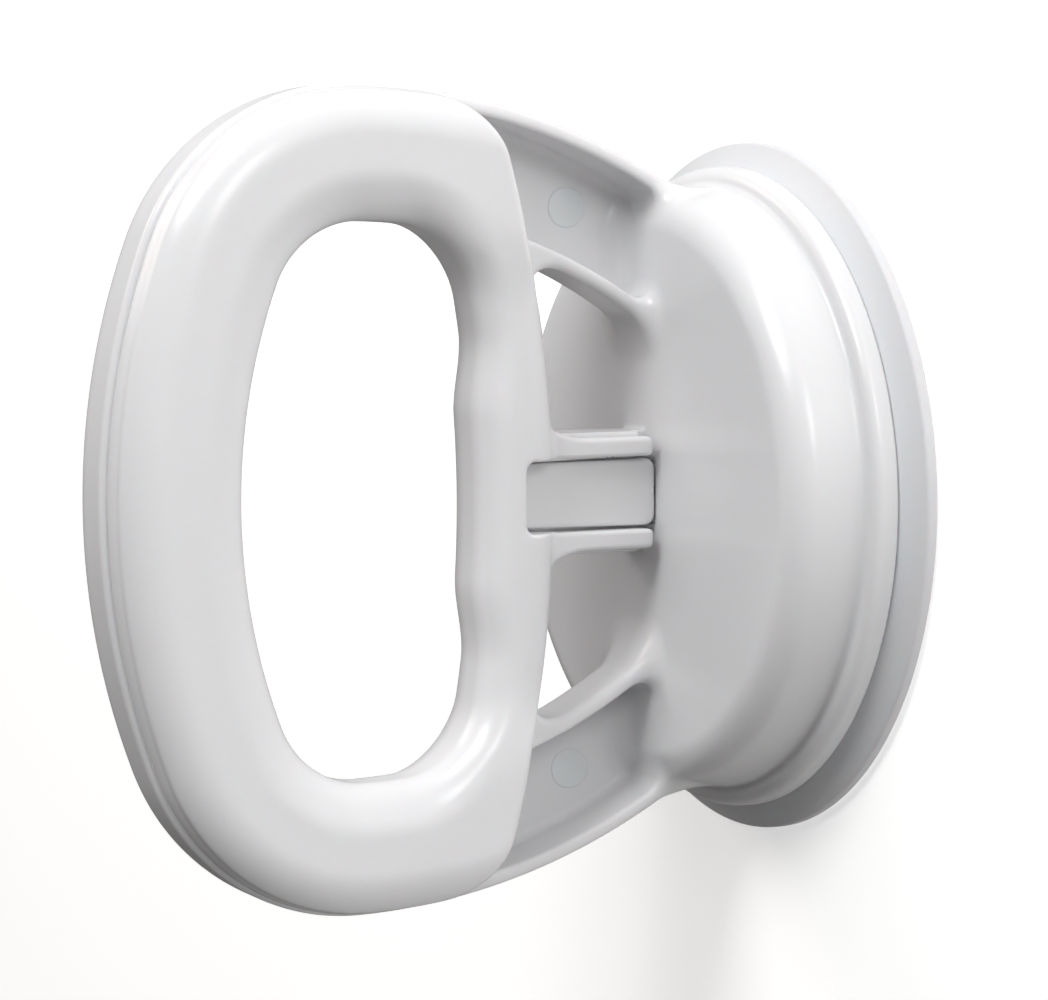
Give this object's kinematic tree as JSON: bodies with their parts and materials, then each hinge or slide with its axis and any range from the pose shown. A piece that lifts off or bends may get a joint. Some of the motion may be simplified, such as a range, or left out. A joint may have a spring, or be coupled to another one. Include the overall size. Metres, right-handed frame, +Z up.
{
  "type": "suction grab handle",
  "caption": "Suction cup grab handle: a round drum housing and a D-shaped hollow ring grip, with a cam lever between two prongs that locks the cup to a smooth wall.",
  "frame": {"origin": "centre of the pad's sealing band, on the wall plane", "axes": "+Y into the wall, -Y out along the handle, +Z up along the ring, +X to the side of the lever's cover"},
  "size_m": [0.125, 0.126, 0.1434],
  "materials": {
    "shell_plastic": "smooth moulded, semi-gloss white",
    "lever_plastic": "smooth moulded, satin off-white",
    "pad_rubber": "soft satin, pale grey-white",
    "seal_rubber": "matt black",
    "bearing_plastic": "matt dark grey",
    "steel": "turned stainless steel",
    "insert_brass": "turned brass"
  },
  "bodies": {
    "root": {"suction_pad": "pad_rubber", "return_spring": "steel", "guide_bush": "bearing_plastic", "thrust_plate": "steel", "plate_screws": "steel", "handle_frame": "shell_plastic", "grip_cover": "shell_plastic", "cover_screws": "steel", "threaded_inserts": "insert_brass", "screw_caps": "shell_plastic", "lever_catch": "steel"},
    "stud": {"pull_stud": "steel", "pull_disc": "steel", "stud_nut": "steel", "spring_washer": "steel", "stud_o_ring": "seal_rubber"},
    "lever": {"cam_lever": "lever_plastic", "lever_cover": "lever_plastic", "lever_bushes": "bearing_plastic", "lever_pin": "steel"}
  },
  "joints": [
    {"name": "stud_slide", "type": "slide", "parent": "root", "child": "stud", "axis": [0, 1, 0], "range_m": [0, 0.0025], "deforming": ["return_spring", "suction_pad"]},
    {"name": "lever_swing", "type": "hinge", "parent": "stud", "child": "lever", "pos_m": [0, -0.0303, 0], "axis": [0, 0, -1], "range_deg": [0, 90]}
  ],
  "couplings": [
    {"joint": "lever_swing", "follows": "stud_slide", "rad_per_m": 628.3}
  ]
}
